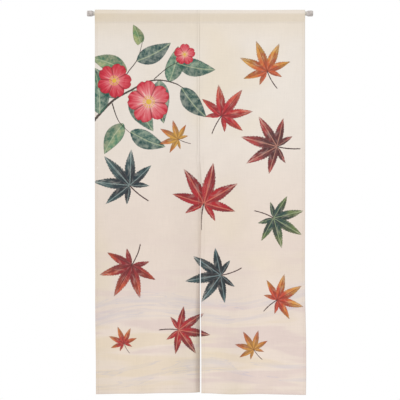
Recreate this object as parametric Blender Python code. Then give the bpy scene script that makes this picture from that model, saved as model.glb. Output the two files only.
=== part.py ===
"""Noren curtain on a tension rod: two cloth panels seamed together over the upper third of the drop.

Metres, +Z up. The origin is the middle of the rod's axis, the rod lies along X and the printed
side of the cloth faces -Y. Each panel is one closed solid: the sheet, the pocket that goes over
the rod, and the hems, which are the same cloth folded to the back.
"""
import math

import bmesh
import bpy
import numpy as np

# Rod and end caps
ROD_RADIUS = 0.0080
ROD_SIDES = 32
CAP_RADIUS = 0.0115
CAP_FACE_X = 0.4416
CAP_BODY_LENGTH = 0.0190
CAP_TAPER_LENGTH = 0.0059
CAP_MOUTH_RADIUS = 0.0094
CAP_ROUNDING = 0.0042
CAP_END_WALL = 0.0040
CAP_SIDES = 28

# Cloth
CLOTH = 0.0012
FIT_GAP = 0.0003
STITCH_Z = -0.0371
POCKET_LIP = 0.0030
POCKET_MERGE = 0.0015
CREASE_ANGLE = math.radians(54.4)
CREASE_ROUNDING = math.radians(6.0)
BOTTOM_HEM = 0.020
SIDE_HEM = 0.012
SLIT_HEM = 0.015
HEM_STEP = 0.0008

# Places down the drop and across the width
SEAM_X = -0.0014
SEAM_END_Z = -0.555
TUCK_START_Z = -0.580
TUCK_Z = -0.635
SHIFTED_Z = -0.660
OVERLAP_END_Z = -0.930
OPEN_Z = -0.975
LEFT_EDGE_X = -0.4109
RIGHT_EDGE_X = 0.4104
LEFT_HEM_Z = -1.4870
RIGHT_HEM_Z = -1.4830

# Slit edges: how far each stands off the plane of the cloth, and how far that reaches inwards
LEFT_TUCK = 0.0045
RIGHT_LIFT = 0.0025
EDGE_REACH = 0.090
SEAM_REACH = 0.120
SLIT_SHIFT = 0.0073
CURL_DEPTH = 0.0140
CURL_WIDTH_TOP = 0.012
CURL_WIDTH_HEM = 0.029
CURL_FULL_Z = -1.250

# Spacing of the facets
INNER_COLUMNS = 12
DROP_ROWS = 52
STRAIGHT_STEPS = 3
ARC_STEPS = 3
CREASE_STEPS = 3

# Shallow waves of the hanging cloth: height, length across, phase in degrees, turn of the phase
# from the pocket to the hem in degrees, and the share of the drop at which the wave begins
LEFT_WAVES = [
    {"height": 0.0042, "length": 0.310, "phase": 35.0, "turn": 40.0, "begins": 0.05},
    {"height": 0.0018, "length": 0.165, "phase": 200.0, "turn": -60.0, "begins": 0.45},
]
RIGHT_WAVES = [
    {"height": 0.0046, "length": 0.330, "phase": 250.0, "turn": -35.0, "begins": 0.04},
    {"height": 0.0020, "length": 0.180, "phase": 20.0, "turn": 70.0, "begins": 0.50},
]


def ramp(value, start, end):
    """Smooth rise from 0 at start to 1 at end."""
    share = np.clip((value - start) / (end - start), 0.0, 1.0)
    return share * share * (3.0 - 2.0 * share)


def bump(value, centre, width):
    """Bell curve of height 1."""
    return np.exp(-(((value - centre) / width) ** 2))


def left_outer_edge(z):
    """Outer edge of the left panel: nearly plumb, then drawn in by 3.7 mm near the hem."""
    drawn_in = 0.0007 * ramp(z, -0.60, -0.76) + 0.0010 * bump(z, -1.03, 0.09)
    return LEFT_EDGE_X + drawn_in + 0.0037 * ramp(z, -1.04, -1.44)


def left_slit_edge(z):
    """Slit edge of the left panel: on the seam, then behind the right panel, then drawn back from it."""
    follow = SLIT_SHIFT * ramp(z, SEAM_END_Z, SHIFTED_Z)
    behind = 0.0020 * ramp(z, TUCK_START_Z, TUCK_Z)
    drawn_back = -0.0077 * ramp(z, OVERLAP_END_Z, OPEN_Z)
    return SEAM_X - FIT_GAP / 2 + follow + behind + drawn_back


def right_slit_edge(z):
    """Slit edge of the right panel: on the seam, to the right, part of the way back, and open below."""
    follow = SLIT_SHIFT * ramp(z, SEAM_END_Z, SHIFTED_Z)
    back = -0.0036 * ramp(z, -0.76, -0.97)
    opened = 0.0012 * ramp(z, -1.00, -1.12) + 0.0016 * ramp(z, -1.18, -1.38)
    return SEAM_X + FIT_GAP / 2 + follow + back + opened


def right_outer_edge(z):
    """Outer edge of the right panel: nearly plumb, then flared by 4.2 mm towards the hem."""
    wander = 0.0006 * bump(z, -0.52, 0.20) - 0.0006 * bump(z, -0.96, 0.10)
    flared = 0.0042 * ramp(z, -1.06, -1.32) - 0.0008 * ramp(z, -1.42, -1.48)
    return RIGHT_EDGE_X + wander + flared


def left_hem_line(x):
    """Height of the left panel's hem, which rises towards the slit in two steps."""
    return LEFT_HEM_Z + 0.0014 * ramp(x, -0.380, -0.290) + 0.0034 * ramp(x, -0.250, -0.130)


def right_hem_line(x):
    """Height of the right panel's hem, which drops towards its outer corner in two steps."""
    raised = 0.0012 * bump(x, 0.240, 0.045)
    return RIGHT_HEM_Z + raised - 0.0050 * ramp(x, 0.020, 0.140) - 0.0016 * ramp(x, 0.290, 0.400)


def left_edge_stand(z, inside):
    """Left panel near the slit: tucked back, and curled further back towards the hem."""
    tuck = LEFT_TUCK * ramp(z, SEAM_END_Z, TUCK_Z)
    reach = np.clip(1.0 - inside / EDGE_REACH, 0.0, 1.0)
    growth = ramp(z, OVERLAP_END_Z, CURL_FULL_Z)
    curl_width = CURL_WIDTH_TOP + (CURL_WIDTH_HEM - CURL_WIDTH_TOP) * growth
    curl = np.clip(1.0 - inside / curl_width, 0.0, 1.0)
    return tuck * reach**2 + CURL_DEPTH * growth * curl**2


def right_edge_stand(z, inside):
    """Right panel near the slit: lifted forward."""
    lift = -RIGHT_LIFT * ramp(z, SEAM_END_Z, TUCK_Z)
    reach = np.clip(1.0 - inside / EDGE_REACH, 0.0, 1.0)
    return lift * reach**2


def wave_depth(x, z, drop, inside, waves):
    """Sum of sine waves across the width, each growing from nothing to its height at the hem.

    Above the slit the seam holds both panels flat, and the waves start a little away from it.
    """
    depth = np.zeros_like(x)
    held = (1.0 - ramp(z, SEAM_END_Z, SEAM_END_Z - SEAM_REACH)) * bump(inside, 0.0, SEAM_REACH)
    for wave in waves:
        phase = np.radians(wave["phase"] + wave["turn"] * drop)
        growth = np.clip((drop - wave["begins"]) / (1.0 - wave["begins"]), 0.0, 1.0) ** 0.8
        depth += wave["height"] * growth * np.sin(2.0 * np.pi * x / wave["length"] + phase)
    return depth * (1.0 - held)


def crease_lift(x):
    """Unevenness of the pressed crease along the top: up at both ends, down right of the middle."""
    left_end = 0.0013 * ramp(x, -0.240, -0.400)
    right_end = 0.0006 * ramp(x, 0.300, 0.380)
    return 0.0004 + left_end + right_end - 0.0007 * bump(x, 0.210, 0.070)


def column_places(width):
    """Shares of a panel's width, from the outer edge to the slit edge, with lines at both hems."""
    outer = [0.0, SIDE_HEM, SIDE_HEM + HEM_STEP]
    inside = [0.075, 0.045, 0.028, SLIT_HEM + HEM_STEP, SLIT_HEM, SLIT_HEM / 2, 0.0]
    middle = np.linspace(outer[-1], width - inside[0], INNER_COLUMNS + 2)[1:-1]
    places = np.concatenate([outer, middle, width - np.array(inside)])
    return places / width


def row_places(length):
    """Shares of the drop below the pocket's stitch line, with lines at the lip and at the hem."""
    upper = [0.0, POCKET_LIP, POCKET_LIP + HEM_STEP]
    lower = [length - BOTTOM_HEM - HEM_STEP, length - BOTTOM_HEM, length]
    middle = np.linspace(upper[-1], lower[0], DROP_ROWS + 2)[1:-1]
    return np.concatenate([upper, middle, lower]) / length


def pocket_profile():
    """Inner face of the pocket in Y and Z, from its lowest line round the rod and back to it.

    The cloth leaves the lowest line straight, lies on the rod's round, and leans together above it
    in a pressed crease. The distance from the axis there is r / cos(c - t), with t the rounded
    angle from the top and c the angle at which the cloth leaves the rod.
    """
    radius = ROD_RADIUS + FIT_GAP
    foot = np.array([CLOTH / 2, STITCH_Z + POCKET_MERGE])
    leave = math.pi - math.acos(radius / math.hypot(*foot))
    arc = np.linspace(leave, CREASE_ANGLE, ARC_STEPS + 1)
    crease = np.linspace(CREASE_ANGLE, 0.0, CREASE_STEPS + 1)[1:]
    half = np.concatenate([arc, crease])
    angle = np.concatenate([half, -half[-2::-1]])
    rounded = np.sqrt(angle**2 + CREASE_ROUNDING**2)
    distance = np.where(np.abs(angle) < CREASE_ANGLE, radius / np.cos(CREASE_ANGLE - rounded), radius)
    loop = np.stack([-distance * np.sin(angle), distance * np.cos(angle)], axis=1)
    climb = np.linspace(0.0, 1.0, STRAIGHT_STEPS + 1)[:-1, None]
    up = foot + (loop[0] - foot) * climb
    down = (foot + (loop[-1] - foot) * climb)[::-1]
    inner = np.concatenate([up, loop, down])
    steps = np.gradient(inner, axis=0)
    steps /= np.linalg.norm(steps, axis=1, keepdims=True)
    outward = np.stack([-steps[:, 1], steps[:, 0]], axis=1)
    crown = np.clip(inner[:, 1] / inner[:, 1].max(), 0.0, 1.0) ** 2
    return inner, inner + CLOTH * outward, crown


def hung_sheet(outer_edge, slit_edge, hem_line, edge_stand, waves):
    """Middle face of the sheet below the stitch line, and how far its two faces stand off it."""
    width = abs(slit_edge(0.0) - outer_edge(0.0))
    length = STITCH_Z - hem_line(outer_edge(-1.0))
    across, down = np.meshgrid(column_places(width), row_places(length))
    level = STITCH_Z - length * down
    x = outer_edge(level) + (slit_edge(level) - outer_edge(level)) * across
    z = STITCH_Z + (hem_line(x) - STITCH_Z) * down
    inside = np.abs(slit_edge(z) - x)
    y = wave_depth(x, z, down, inside, waves) + edge_stand(z, inside)
    middle = np.stack([x, y, z], axis=2)
    along = np.gradient(middle, axis=0)
    sideways = np.gradient(middle, axis=1)
    normal = np.cross(along, sideways)
    normal /= np.linalg.norm(normal, axis=2, keepdims=True)
    normal *= np.sign(normal[:, :, 1:2])
    tiny = HEM_STEP / 4
    in_lip = level > STITCH_Z - POCKET_LIP - tiny
    in_bottom_hem = down * length > length - BOTTOM_HEM - tiny
    in_side_hem = across * width < SIDE_HEM + tiny
    in_slit_hem = (1.0 - across) * width < SLIT_HEM + tiny
    doubled = in_lip | in_bottom_hem | in_side_hem | in_slit_hem
    front = middle - normal * CLOTH / 2
    back = middle + normal * (CLOTH / 2 + CLOTH * doubled[:, :, None])
    return front, back


def panel_mesh(name, outer_edge, slit_edge, hem_line, edge_stand, waves):
    """One panel as a closed mesh: sheet, hems and the pocket, open at both of its ends."""
    front, back = hung_sheet(outer_edge, slit_edge, hem_line, edge_stand, waves)
    inner_profile, outer_profile, crown = pocket_profile()
    x = front[0, :, 0]
    lift = crown[:, None] * crease_lift(x)[None, :]

    def carried(profile):
        """The profile repeated at every column, with the crease's unevenness."""
        grid = np.empty((len(profile), len(x), 3))
        grid[:, :, 0] = x
        grid[:, :, 1] = profile[:, :1]
        grid[:, :, 2] = profile[:, 1:] + lift
        return grid

    inner = carried(inner_profile)[:-1]
    outer = carried(outer_profile)[1:-1]
    skin = np.concatenate([front[::-1], outer, back])
    columns = len(x)
    skin_index = np.arange(skin.shape[0] * columns).reshape(skin.shape[:2])
    inner_index = skin_index.size + np.arange(inner.shape[0] * columns).reshape(inner.shape[:2])
    faces = []
    for rings in (skin_index, inner_index):
        turned = np.roll(rings, -1, axis=0)
        quads = np.stack([rings[:, :-1], rings[:, 1:], turned[:, 1:], turned[:, :-1]], axis=2)
        faces.extend(quads.reshape(-1, 4).tolist())
    rows = front.shape[0]
    for column in (0, columns - 1):
        ring = skin_index[:, column]
        front_line = ring[:rows]
        back_line = ring[::-1][:rows]
        for low in range(rows - 1):
            high = low + 1
            faces.append([front_line[low], front_line[high], back_line[high], back_line[low]])
        pocket_outer = ring[rows - 1:len(ring) - rows + 1]
        pocket_inner = np.append(inner_index[:, column], inner_index[0, column])
        foot = inner_index[0, column]
        faces.append([pocket_outer[0], foot, pocket_outer[-1]])
        for step in range(len(pocket_outer) - 1):
            after = step + 1
            faces.append([pocket_outer[step], pocket_outer[after], pocket_inner[after], pocket_inner[step]])
    vertices = np.concatenate([skin.reshape(-1, 3), inner.reshape(-1, 3)])
    mesh = bpy.data.meshes.new(name)
    mesh.from_pydata(vertices.tolist(), [], [[int(corner) for corner in face] for face in faces])
    return finish_mesh(mesh, 40.0)


def finish_mesh(mesh, sharp_angle):
    """Turn the faces outwards and shade the mesh smooth up to the given angle in degrees."""
    work = bmesh.new()
    work.from_mesh(mesh)
    bmesh.ops.recalc_face_normals(work, faces=work.faces)
    work.to_mesh(mesh)
    work.free()
    mesh.shade_smooth()
    mesh.set_sharp_from_angle(angle=math.radians(sharp_angle))
    return mesh


def turned_mesh(name, profile, sides):
    """Closed mesh of a profile of (x, radius) pairs turned about the X axis. Radius 0 is a pole."""
    work = bmesh.new()
    rings = []
    for x, radius in profile:
        if radius == 0.0:
            rings.append([work.verts.new((x, 0.0, 0.0))])
            continue
        ring = []
        for side in range(sides):
            angle = 2.0 * math.pi * side / sides
            ring.append(work.verts.new((x, radius * math.cos(angle), radius * math.sin(angle))))
        rings.append(ring)
    for ring, following in zip(rings, rings[1:]):
        for side in range(sides):
            after = (side + 1) % sides
            if len(ring) == 1:
                work.faces.new((ring[0], following[side], following[after]))
            elif len(following) == 1:
                work.faces.new((ring[side], following[0], ring[after]))
            else:
                work.faces.new((ring[side], following[side], following[after], ring[after]))
    mesh = bpy.data.meshes.new(name)
    work.to_mesh(mesh)
    work.free()
    return finish_mesh(mesh, 35.0)


def cap_profile():
    """Cap from the middle of its end face, round its rim and taper, into the socket for the rod.

    Measured from the end face at x = 0 towards the middle of the rod at +x.
    """
    rim = []
    for step in range(5):
        angle = math.radians(90.0 * step / 4)
        rim_x = CAP_ROUNDING * (1.0 - math.sin(angle))
        rim_radius = CAP_RADIUS - CAP_ROUNDING * (1.0 - math.cos(angle))
        rim.append((rim_x, rim_radius))
    mouth_x = CAP_BODY_LENGTH + CAP_TAPER_LENGTH
    shoulder_radius = (CAP_RADIUS + CAP_MOUTH_RADIUS) / 2 + 0.0003
    socket_radius = ROD_RADIUS + FIT_GAP
    return [
        (0.0, 0.0),
        *reversed(rim),
        (CAP_BODY_LENGTH, CAP_RADIUS),
        (CAP_BODY_LENGTH + CAP_TAPER_LENGTH / 2, shoulder_radius),
        (mouth_x, CAP_MOUTH_RADIUS),
        (mouth_x, socket_radius),
        (CAP_END_WALL, socket_radius),
        (CAP_END_WALL, 0.0),
    ]


def surface(name, colour, roughness, metallic):
    """Plain material for one finish."""
    material = bpy.data.materials.new(name)
    material.use_nodes = True
    shader = material.node_tree.nodes["Principled BSDF"]
    shader.inputs["Base Color"].default_value = (*colour, 1.0)
    shader.inputs["Roughness"].default_value = roughness
    shader.inputs["Metallic"].default_value = metallic
    return material


def place(name, mesh, material, hanger, x=0.0, turn=0.0):
    """Add an object at x on the rod's axis, turned about Z, and hang it on the common empty."""
    mesh.materials.append(material)
    piece = bpy.data.objects.new(name, mesh)
    piece.location = (x, 0.0, 0.0)
    piece.rotation_euler = (0.0, 0.0, turn)
    piece.parent = hanger
    bpy.context.scene.collection.objects.link(piece)
    return piece


def build():
    for item in list(bpy.data.objects):
        bpy.data.objects.remove(item, do_unlink=True)
    hanger = bpy.data.objects.new("noren_curtain", None)
    bpy.context.scene.collection.objects.link(hanger)

    left_cloth = surface("left_cloth", (0.77, 0.70, 0.60), 0.90, 0.0)
    right_cloth = surface("right_cloth", (0.79, 0.73, 0.63), 0.90, 0.0)
    rod_paint = surface("rod_paint", (0.56, 0.54, 0.52), 0.35, 0.4)
    cap_rubber = surface("cap_rubber", (0.50, 0.48, 0.46), 0.60, 0.0)

    left_mesh = panel_mesh(
        "left_panel", left_outer_edge, left_slit_edge, left_hem_line, left_edge_stand, LEFT_WAVES
    )
    right_mesh = panel_mesh(
        "right_panel", right_outer_edge, right_slit_edge, right_hem_line, right_edge_stand, RIGHT_WAVES
    )
    place("left_panel", left_mesh, left_cloth, hanger)
    place("right_panel", right_mesh, right_cloth, hanger)

    rod_end = CAP_FACE_X - CAP_END_WALL - FIT_GAP
    rod_profile = [(-rod_end, 0.0), (-rod_end, ROD_RADIUS), (rod_end, ROD_RADIUS), (rod_end, 0.0)]
    place("rod", turned_mesh("rod", rod_profile, ROD_SIDES), rod_paint, hanger)

    cap = turned_mesh("end_cap", cap_profile(), CAP_SIDES)
    place("left_cap", cap, cap_rubber, hanger, x=-CAP_FACE_X)
    right_cap = place("right_cap", cap.copy(), cap_rubber, hanger, x=CAP_FACE_X, turn=math.pi)
    right_cap.data.materials.clear()
    right_cap.data.materials.append(cap_rubber)


build()
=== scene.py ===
"""Looks of a noren curtain on a tension rod: rod, end caps, two printed cloth panels and their sewing.

Metres, +Z up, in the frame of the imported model: the rod lies along X and the print faces -Y.
"""

import math
from functools import partial

import bpy
import numpy as np
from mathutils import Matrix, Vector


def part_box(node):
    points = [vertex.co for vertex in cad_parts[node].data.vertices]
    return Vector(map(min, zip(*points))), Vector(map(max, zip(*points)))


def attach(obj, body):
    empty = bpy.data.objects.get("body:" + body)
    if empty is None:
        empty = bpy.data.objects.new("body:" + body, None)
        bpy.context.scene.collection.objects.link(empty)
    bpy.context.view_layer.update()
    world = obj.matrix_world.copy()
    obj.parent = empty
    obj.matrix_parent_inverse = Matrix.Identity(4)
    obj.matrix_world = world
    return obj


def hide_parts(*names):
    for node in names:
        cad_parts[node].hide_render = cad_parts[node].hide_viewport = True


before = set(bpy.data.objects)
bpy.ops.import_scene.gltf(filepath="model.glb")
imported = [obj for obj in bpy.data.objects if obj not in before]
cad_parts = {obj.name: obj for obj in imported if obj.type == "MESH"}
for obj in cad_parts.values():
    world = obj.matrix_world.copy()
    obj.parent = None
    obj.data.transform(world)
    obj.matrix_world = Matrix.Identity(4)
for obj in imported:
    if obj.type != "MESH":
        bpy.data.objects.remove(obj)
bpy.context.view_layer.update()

# Tension rod. A thin-walled steel tube with a baked warm grey enamel, made as two tubes that slide
# in each other. The cloth hides all of it but 8 mm at each end, between the pocket and the caps.
ROD_SIDES = 96
ROD_ENAMEL = "#B4AFA6"
ROD_TOP_SHADE = "#969087"
ENAMEL_RIPPLE = 0.0016
ROD_EDGE = 0.0006


def linear(colour):
    """Linear red, green, blue and alpha of an sRGB hex colour, by the sRGB curve."""
    channels = np.array([int(colour[place:place + 2], 16) for place in (1, 3, 5)]) / 255.0
    low = channels / 12.92
    high = ((channels + 0.055) / 1.055) ** 2.4
    return (*np.where(channels <= 0.04045, low, high).tolist(), 1.0)


# Settings that many nodes share: a ramp that eases in and out, and a mix of two colours.
SOFT = {"interpolation_type": "SMOOTHSTEP"}
COLOUR = {"data_type": "RGBA"}


def add_node(tree, kind, feed=(), stops=(), **settings):
    """Add one shader node: "Bump", "VectorMath LENGTH" with its operation, or "SINE" for Math SINE.

    Settings are its properties, and stops a colour ramp's places and colours. The feed is a tuple
    for the inputs in use in their order, a dict of inputs by name, or one value for the first input.
    A node or socket in it is linked, and anything else is set.
    """
    kind, _, operation = ("Math " + kind if kind.isupper() else kind).partition(" ")
    made = tree.nodes.new("ShaderNode" + kind)
    if operation:
        made.operation = operation
    for name, value in settings.items():
        setattr(made, name, value)
    for index, (place, colour) in enumerate(stops):
        element = made.color_ramp.elements[index] if index < 2 else made.color_ramp.elements.new(place)
        element.position = place
        element.color = linear(colour)
    if isinstance(feed, dict):
        pairs = [(made.inputs[name], value) for name, value in feed.items()]
    else:
        values = feed if isinstance(feed, tuple) else (feed,)
        pairs = zip([socket for socket in made.inputs if socket.enabled], values)
    for socket, value in pairs:
        if isinstance(value, bpy.types.Node):
            value = next(output for output in value.outputs if output.enabled)
        if isinstance(value, bpy.types.NodeSocket):
            tree.links.new(value, socket)
        else:
            socket.default_value = value
    return made


def new_finish(name):
    """A material without nodes, and the function that adds nodes to it."""
    material = bpy.data.materials.new(name)
    material.use_nodes = True
    material.node_tree.nodes.clear()
    return material, partial(add_node, material.node_tree)


def add_piece(name, vertices, faces, material, slot, nodes=()):
    """Add a smooth-shaded mesh that rides on the part's body and replaces the given CAD nodes."""
    mesh = bpy.data.meshes.new(name)
    mesh.from_pydata(vertices, [], faces)
    mesh.polygons.foreach_set("use_smooth", np.ones(len(mesh.polygons), bool))
    mesh.materials.append(material)
    piece = bpy.data.objects.new(name, mesh)
    bpy.context.scene.collection.objects.link(piece)
    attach(piece, "root")
    if nodes:
        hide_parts(*nodes)
    return piece


def turned(profile, sides):
    """Vertices and faces of a profile of (x, radius) turned about X: (x, r sin a, r cos a).

    The profile starts and ends on the axis, runs towards +x on the outside, and its end rings are
    closed by a fan of triangles.
    """
    profile = np.asarray(profile, float)
    angle = np.arange(sides) * 2.0 * np.pi / sides
    x = np.repeat(profile[1:-1, :1], sides, axis=1)
    y = profile[1:-1, 1:] * np.sin(angle)
    z = profile[1:-1, 1:] * np.cos(angle)
    rings = np.stack([x, y, z], axis=2).reshape(-1, 3)
    vertices = np.concatenate([rings, [[profile[0, 0], 0.0, 0.0], [profile[-1, 0], 0.0, 0.0]]])
    index = np.arange(x.size).reshape(x.shape)
    after = np.roll(index, -1, axis=1)
    quads = np.stack([index[:-1], after[:-1], after[1:], index[1:]], axis=2).reshape(-1, 4)
    start = np.stack([np.full(sides, x.size), after[0], index[0]], axis=1)
    end = np.stack([np.full(sides, x.size + 1), index[-1], after[-1]], axis=1)
    return vertices, quads.tolist() + start.tolist() + end.tolist()


def rounded_corner(x, radius, rounding, start, end, steps=6):
    """Points on a quarter round centred on (x, radius), from one angle to another in degrees."""
    angle = np.radians(np.linspace(start, end, steps + 1))
    return np.stack([x + rounding * np.cos(angle), radius + rounding * np.sin(angle)], axis=1)


def enamel_finish():
    """Baked enamel on steel: a glossy, faintly rippled coat, with painted shade in patches along its
    top.
    """
    material, node = new_finish("baked_enamel")
    place = node("TexCoord").outputs["Object"]
    ripple = node("TexNoise", {"Vector": place, "Scale": 1.0 / ENAMEL_RIPPLE, "Detail": 2.0})
    patches = node("TexNoise", {"Vector": place, "Scale": 60.0, "Detail": 3.0})
    # Painted shade: the top of the rod is darkened in patches.
    height = node("SeparateXYZ", place).outputs["Z"]
    top = node("MapRange", (height, 0.003, 0.008, 0.0, 0.45), **SOFT)
    top_shade = node("MULTIPLY", (top, patches))
    colour = node("Mix", (top_shade, linear(ROD_ENAMEL), linear(ROD_TOP_SHADE)), **COLOUR)
    roughness = node("MapRange", (patches, 0.3, 0.7, 0.26, 0.40))
    bump = node("Bump", {"Height": ripple, "Strength": 0.25, "Distance": 0.0001})
    shader = node("BsdfPrincipled", {
        "Base Color": colour, "Roughness": roughness, "IOR": 1.50, "Normal": bump,
    })
    node("OutputMaterial", shader)
    return material


rod_low, rod_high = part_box("rod")
rod_radius = rod_high.z
rod_profile = np.concatenate([
    [[rod_low.x, 0.0]],
    rounded_corner(rod_low.x + ROD_EDGE, rod_radius - ROD_EDGE, ROD_EDGE, 180.0, 90.0, 4),
    rounded_corner(rod_high.x - ROD_EDGE, rod_radius - ROD_EDGE, ROD_EDGE, 90.0, 0.0, 4),
    [[rod_high.x, 0.0]],
])
add_piece("rod_tube", *turned(rod_profile, ROD_SIDES), enamel_finish(), "rod", ["rod"])


# End caps. Moulded from warm grey thermoplastic rubber and pressed onto the tube's ends, each with
# a short taper towards the cloth and grip rings in the face that bears on the doorway's side.
CAP_SIDES = 96
CAP_RUBBER = "#AFA8A4"
CAP_SHADE = "#8F8883"
CAP_ROUNDING = 0.0042
CAP_TAPER = 0.0059
CAP_MOUTH_RADIUS = 0.0094
CAP_WALL = 0.0040
CAP_FIT = 0.0003
GRIP_RINGS = (0.0030, 0.0052, 0.0074)
GRIP_DEPTH = 0.0004
GRIP_WIDTH = 0.0004
COLLAR_GROOVE_X = 0.0046
COLLAR_GROOVE_DEPTH = 0.00035
COLLAR_GROOVE_WIDTH = 0.0003
MOUTH_ROUNDING = 0.0003
MOULD_TEXTURE = 0.0009


def ramp(value, start, end):
    """Smooth rise from 0 at start to 1 at end: 3 u squared less 2 u cubed."""
    share = np.clip((value - start) / (end - start), 0.0, 1.0)
    return share * share * (3.0 - 2.0 * share)


def bell(value, centre, width):
    """Bell curve of height 1: e to the minus of the squared distance in widths."""
    return np.exp(-(((value - centre) / width) ** 2))


def cap_profile(length, radius):
    """Cap from the middle of its end face at x 0 to its mouth and back up its socket.

    The end face has round-bottomed grip rings, the rim is a quarter round, a shallow groove parts
    the pad from the collar, and the taper is an S from the body's radius to the mouth's.
    """
    face_radius = np.linspace(0.0, radius - CAP_ROUNDING, 40)
    grip = sum(bell(face_radius, ring, GRIP_WIDTH) for ring in GRIP_RINGS)
    face = np.stack([GRIP_DEPTH * grip, face_radius], axis=1)
    rim = rounded_corner(CAP_ROUNDING, radius - CAP_ROUNDING, CAP_ROUNDING, 180.0, 90.0, 8)[1:]
    body_x = np.linspace(CAP_ROUNDING + 0.0002, length - CAP_TAPER, 36)
    groove = COLLAR_GROOVE_DEPTH * bell(body_x, COLLAR_GROOVE_X, COLLAR_GROOVE_WIDTH)
    body = np.stack([body_x, radius - groove], axis=1)
    share = np.linspace(0.0, 1.0, 10)[1:]
    taper_radius = radius - (radius - CAP_MOUTH_RADIUS) * ramp(share, 0.0, 1.0)
    taper = np.stack([length - CAP_TAPER + CAP_TAPER * share, taper_radius], axis=1)
    taper[-1, 0] -= MOUTH_ROUNDING
    mouth_radius = CAP_MOUTH_RADIUS - MOUTH_ROUNDING
    mouth = rounded_corner(length - MOUTH_ROUNDING, mouth_radius, MOUTH_ROUNDING, 90.0, 0.0, 3)[1:]
    socket = rod_radius + CAP_FIT
    inside = [[length, socket], [CAP_WALL, socket], [CAP_WALL, 0.0]]
    return np.concatenate([face, rim, body, taper, mouth, inside])


def rubber_finish():
    """Moulded rubber: matt and finely textured, with patches that are darker from handling."""
    material, node = new_finish("moulded_rubber")
    place = node("TexCoord").outputs["Object"]
    texture = node("TexNoise", {"Vector": place, "Scale": 1.0 / MOULD_TEXTURE, "Detail": 3.0})
    cloud = node("TexNoise", {"Vector": place, "Scale": 120.0, "Detail": 2.0})
    grime = node("MapRange", (cloud, 0.40, 0.68, 0.0, 0.75), **SOFT)
    colour = node("Mix", (grime, linear(CAP_RUBBER), linear(CAP_SHADE)), **COLOUR)
    roughness = node("MapRange", (texture, 0.3, 0.7, 0.52, 0.70))
    bump = node("Bump", {"Height": texture, "Strength": 0.4, "Distance": 0.0001})
    shader = node("BsdfPrincipled", {
        "Base Color": colour, "Roughness": roughness, "IOR": 1.49, "Normal": bump,
    })
    node("OutputMaterial", shader)
    return material


rubber = rubber_finish()
for side, way in (("left", 1.0), ("right", -1.0)):
    cap_low, cap_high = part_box(side + "_cap")
    length = cap_high.x - cap_low.x
    vertices, faces = turned(cap_profile(length, cap_high.z), CAP_SIDES)
    face_x = cap_low.x if way > 0.0 else cap_high.x
    vertices = vertices * [way, 1.0, 1.0] + [face_x, 0.0, 0.0]
    if way < 0.0:
        faces = [face[::-1] for face in faces]
    add_piece(side + "_end_cap", vertices, faces, rubber, "cap", [side + "_cap"])


# Cloth panels. Plain-woven cotton and linen, about 0.8 mm thick with its slubs, printed on its face
# before sewing. Each hangs from a pocket that its own top is folded into, with double-turned hems
# at the outer side, the bottom and, below the seam, the slit.
CLOTH = 0.0008
HEM_LAYERS = 0.0012
STITCH_Z = -0.0371
POCKET_LIP = 0.0030
POCKET_FADE_Z = -0.130
CREASE_ANGLE = math.radians(54.4)
CREASE_ROUNDING = math.radians(6.0)
SIDE_HEM = 0.012
SLIT_HEM = 0.015
BOTTOM_HEM = 0.020
HEM_STEP = 0.0010
SIDE_STITCHES = 0.010
SLIT_STITCHES = 0.0130
BOTTOM_STITCHES = 0.018
STITCH_DENT = 0.00035
STITCH_PULL = 0.0011
POCKET_PULL = 0.0013
FELL_PULL = 0.0014
FELL_RISE = 0.00025
FOLD_ROUNDING = 0.0012
FOLD_LEAST = 0.12
FOLD_SHADE = 0.0042
SEAM_X = -0.0014
SEAM_GAP = 0.0001
SEAM_END_Z = -0.555
SEAM_EASE = 0.004
FELL_WIDTH = 0.0094
ALLOWANCE_FOOT = 0.0086
TUCK_START_Z = -0.580
TUCK_Z = -0.635
SHIFTED_Z = -0.660
OVERLAP_END_Z = -0.930
OPEN_Z = -0.975
CURL_FULL_Z = -1.250
SLIT_SHIFT = 0.0073
STAND_REACH = 0.090
COLUMN_STEP = 0.0050
ROW_STEP = 0.0037


def left_outer_edge(z):
    """Outer edge of the left panel: nearly plumb, then drawn in by 3.7 mm near the hem."""
    drawn_in = 0.0007 * ramp(z, -0.60, -0.76) + 0.0010 * bell(z, -1.03, 0.09)
    return -0.4109 + drawn_in + 0.0037 * ramp(z, -1.04, -1.44)


def left_slit_edge(z):
    """Slit edge of the left panel: on the seam, then behind the right panel, then drawn back."""
    follow = SLIT_SHIFT * ramp(z, SEAM_END_Z, SHIFTED_Z) + 0.0020 * ramp(z, TUCK_START_Z, TUCK_Z)
    return SEAM_X - SEAM_GAP / 2 + follow - 0.0077 * ramp(z, OVERLAP_END_Z, OPEN_Z)


def right_outer_edge(z):
    """Outer edge of the right panel: nearly plumb, then flared by 4.2 mm towards the hem."""
    wander = 0.0006 * bell(z, -0.52, 0.20) - 0.0006 * bell(z, -0.96, 0.10)
    return 0.4104 + wander + 0.0042 * ramp(z, -1.06, -1.32) - 0.0008 * ramp(z, -1.42, -1.48)


def right_slit_edge(z):
    """Slit edge of the right panel: on the seam, to the right, part of the way back, and open below."""
    follow = SLIT_SHIFT * ramp(z, SEAM_END_Z, SHIFTED_Z)
    opened = 0.0012 * ramp(z, -1.00, -1.12) + 0.0016 * ramp(z, -1.18, -1.38)
    return SEAM_X + SEAM_GAP / 2 + follow + opened - 0.0036 * ramp(z, -0.76, -0.97)


def left_hem_line(x):
    """Height of the left panel's hem, which rises towards the slit in two steps."""
    return -1.4870 + 0.0014 * ramp(x, -0.380, -0.290) + 0.0034 * ramp(x, -0.250, -0.130)


def right_hem_line(x):
    """Height of the right panel's hem, which drops towards its outer corner in two steps."""
    raised = 0.0012 * bell(x, 0.240, 0.045)
    return -1.4830 + raised - 0.0050 * ramp(x, 0.020, 0.140) - 0.0016 * ramp(x, 0.290, 0.400)


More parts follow.
